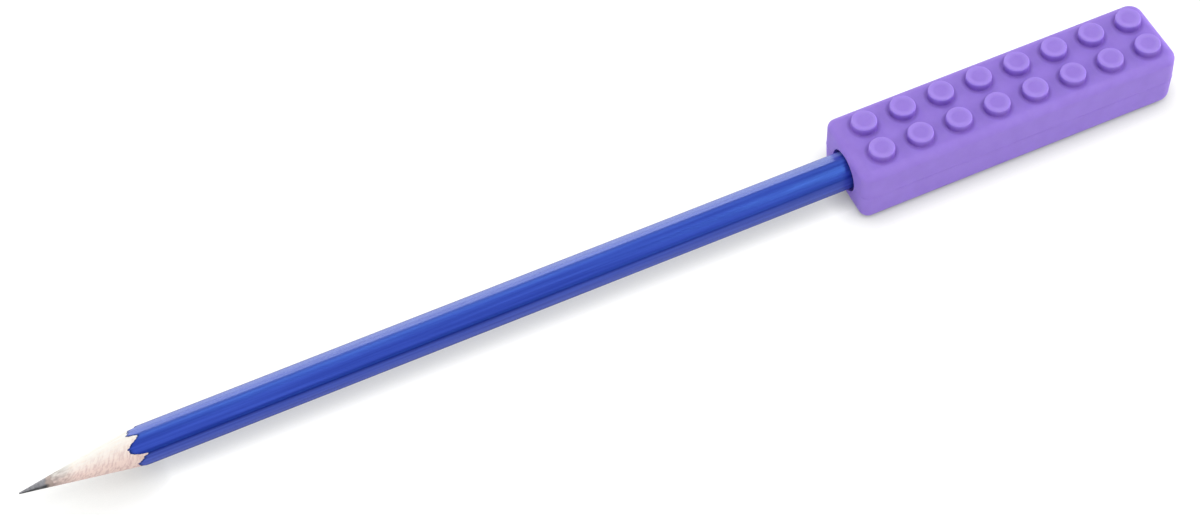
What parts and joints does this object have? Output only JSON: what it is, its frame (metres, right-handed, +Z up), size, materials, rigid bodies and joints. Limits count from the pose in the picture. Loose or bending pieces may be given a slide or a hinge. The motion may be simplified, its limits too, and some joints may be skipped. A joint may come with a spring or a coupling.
{
  "type": "chewable pencil topper",
  "caption": "Soft studded block that grips the eraser end of a sharpened six-sided wooden pencil and pulls off along it.",
  "frame": {"origin": "centre of the topper's flat underside", "axes": "+X along the pencil from its point to the topper's closed end, +Z up through the studs"},
  "size_m": [0.2319, 0.017, 0.0143],
  "materials": {
    "elastomer": "satin soft moulded elastomer, lilac",
    "lacquer": "glossy blue paint",
    "cedar": "freshly cut, bare",
    "graphite": "dark grey with a dull metallic sheen",
    "ferrule_metal": "bright, crimped",
    "eraser_rubber": "matte pink rubber"
  },
  "bodies": {
    "pencil": {"lacquer_coat": "lacquer", "front_slat": "cedar", "rear_slat": "cedar", "lead": "graphite", "ferrule": "ferrule_metal", "eraser": "eraser_rubber"},
    "topper": {"topper": "elastomer"}
  },
  "joints": [
    {"name": "topper_pull", "type": "slide", "parent": "pencil", "child": "topper", "axis": [1, 0, 0], "range_m": [0, 0.03]}
  ]
}
